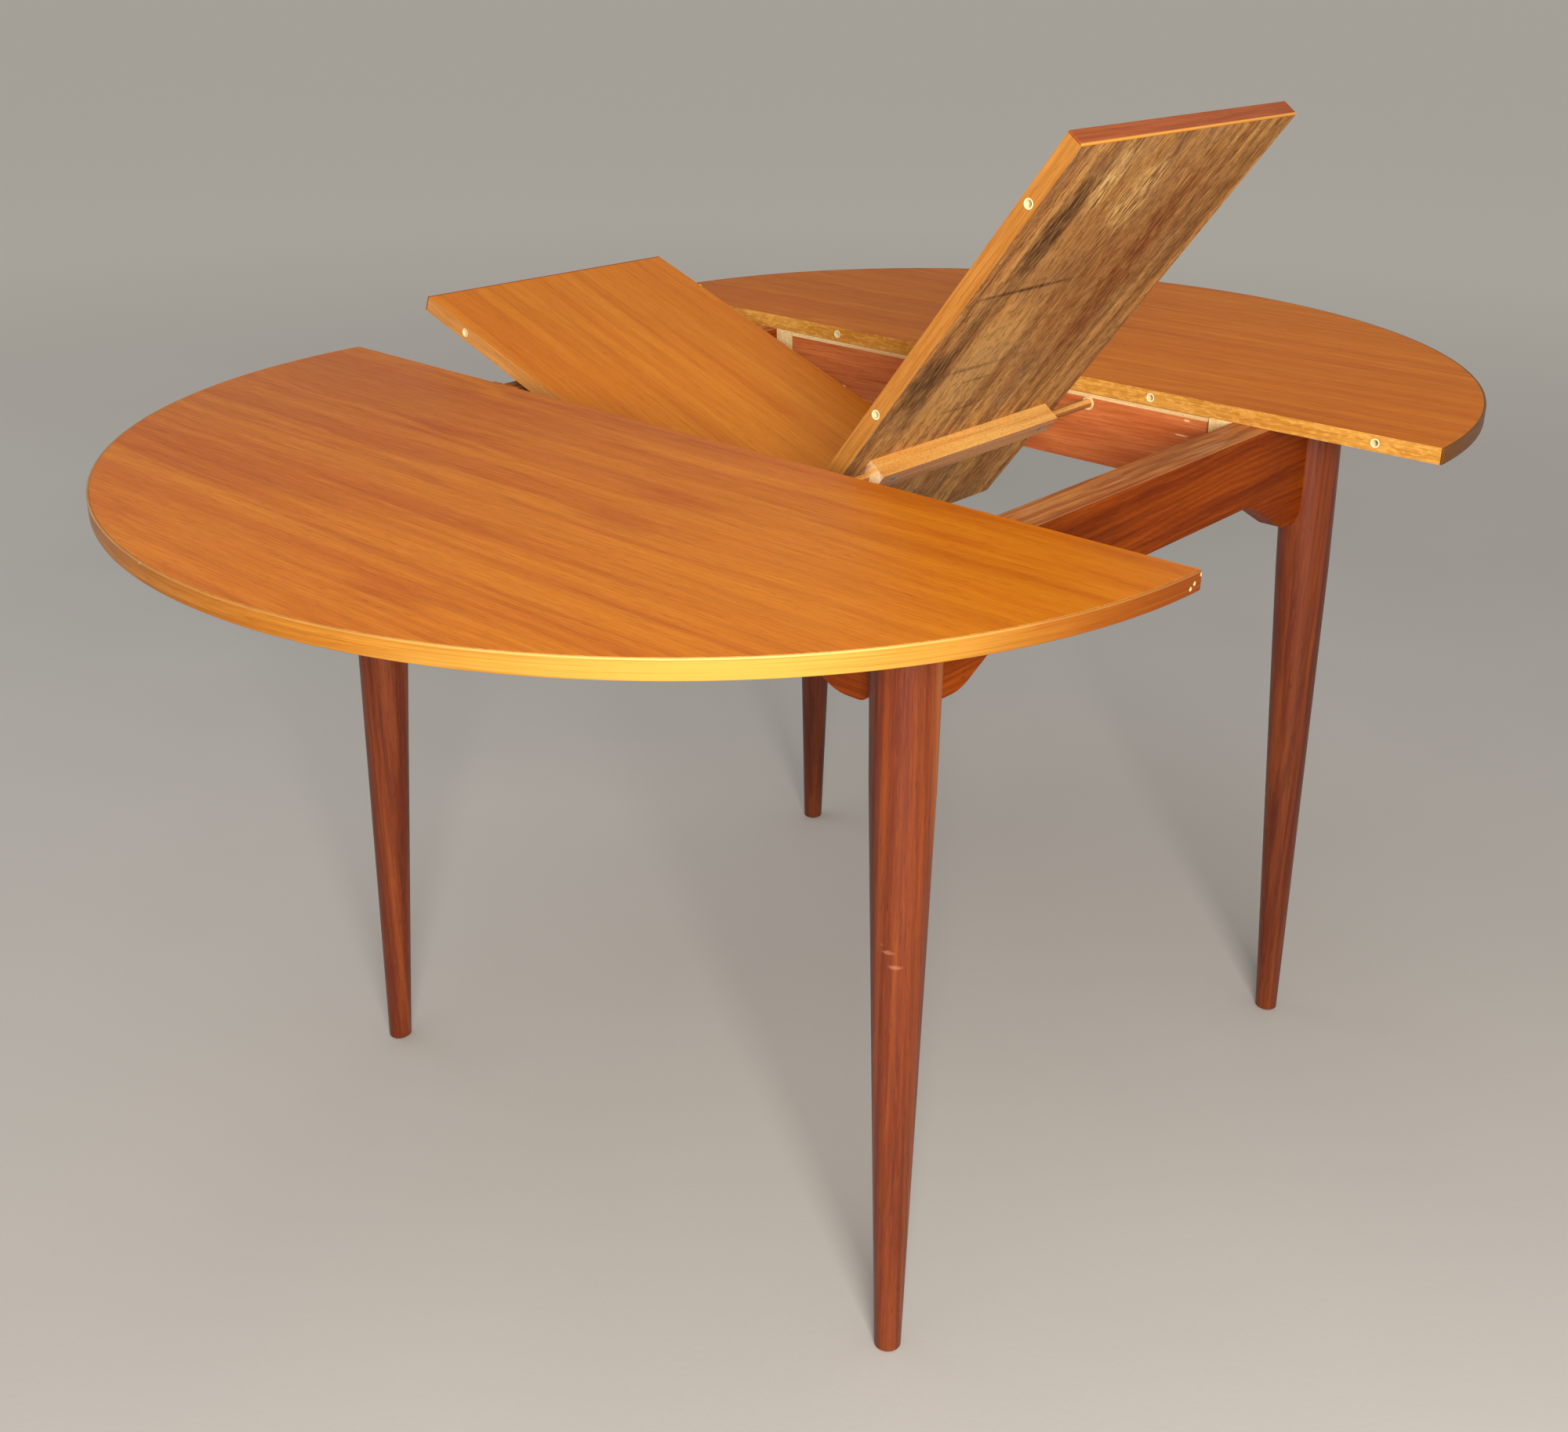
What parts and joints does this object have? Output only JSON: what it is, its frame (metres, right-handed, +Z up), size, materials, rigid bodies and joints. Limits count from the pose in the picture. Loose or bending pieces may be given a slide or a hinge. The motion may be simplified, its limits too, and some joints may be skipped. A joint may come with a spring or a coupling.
{
  "type": "extending dining table",
  "caption": "Round dining table whose half tops slide apart for a folding leaf that turns up out of the frame on a pivot bar.",
  "frame": {"origin": "on the floor under the middle of the table", "axes": "+X along the split between the half tops, +Y along the way they slide, +Z up"},
  "size_m": [1.03, 1.4658, 1.0311],
  "materials": {
    "top_veneer": "teak veneer, satin lacquer",
    "edge_banding": "solid teak banding, satin lacquer",
    "leg_teak": "turned teak, satin lacquer",
    "rail_teak": "teak, satin lacquer, worn on top",
    "mahogany": "mahogany, matt",
    "beech": "bare beech",
    "bar_beech": "stained beech",
    "leaf_veneer": "teak veneer over bare mahogany backing",
    "nylon": "moulded",
    "brass": "plain",
    "steel": "zinc plated"
  },
  "bodies": {
    "frame": {"left_side_rail": "rail_teak", "left_guide_batten": "rail_teak", "right_side_rail": "rail_teak", "right_guide_batten": "rail_teak", "near_left_leg": "leg_teak", "far_left_leg": "leg_teak", "near_right_leg": "leg_teak", "far_right_leg": "leg_teak", "near_end_rail": "rail_teak", "far_end_rail": "rail_teak", "near_cross_rail": "mahogany", "far_cross_rail": "mahogany", "near_glide_strip": "beech", "far_glide_strip": "beech", "corner_dowels": "beech", "cross_rail_dowels": "beech", "batten_screws": "steel", "pivot_washers": "beech"},
    "near_half_top": {"near_top": "top_veneer", "near_lipping": "edge_banding", "near_left_runner": "beech", "near_left_slide": "beech", "near_right_runner": "beech", "near_right_slide": "beech", "near_tongues": "beech", "near_stops": "beech", "near_runner_screws": "steel", "near_pegs": "beech"},
    "far_half_top": {"far_top": "top_veneer", "far_lipping": "edge_banding", "far_left_runner": "beech", "far_left_slide": "beech", "far_right_runner": "beech", "far_right_slide": "beech", "far_tongues": "beech", "far_stops": "beech", "far_runner_screws": "steel", "far_sockets": "nylon"},
    "leaf_right": {"leaf_right_board": "leaf_veneer", "leaf_right_lipping": "edge_banding", "leaf_right_pegs": "beech", "leaf_right_sockets": "nylon", "leaf_right_hinge_plates": "brass", "leaf_right_hinge_screws": "brass", "hinge_pins": "brass", "pivot_bar": "bar_beech", "pivot_bar_screws": "steel"},
    "leaf_left": {"leaf_left_board": "leaf_veneer", "leaf_left_lipping": "edge_banding", "leaf_left_pegs": "beech", "leaf_left_sockets": "nylon", "leaf_left_hinge_plates": "brass", "leaf_left_hinge_screws": "brass"}
  },
  "joints": [
    {"name": "near_top_slide", "type": "slide", "parent": "frame", "child": "near_half_top", "axis": [0, 1, 0], "range_m": [0, 0.0477]},
    {"name": "far_top_slide", "type": "slide", "parent": "frame", "child": "far_half_top", "axis": [0, -1, 0], "range_m": [0, 0.0477]},
    {"name": "leaf_pivot", "type": "hinge", "parent": "frame", "child": "leaf_right", "pos_m": [0.137, 0, 0.714], "axis": [0, -1, 0], "range_deg": [-53, 77]},
    {"name": "leaf_fold", "type": "hinge", "parent": "leaf_right", "child": "leaf_left", "pos_m": [0.03363, 0, 0.62035], "axis": [0, 1, 0], "range_deg": [-73.01, 106.2]}
  ],
  "couplings": [
    {"joint": "leaf_fold", "follows": "leaf_pivot", "ratio": 1.3774}
  ]
}
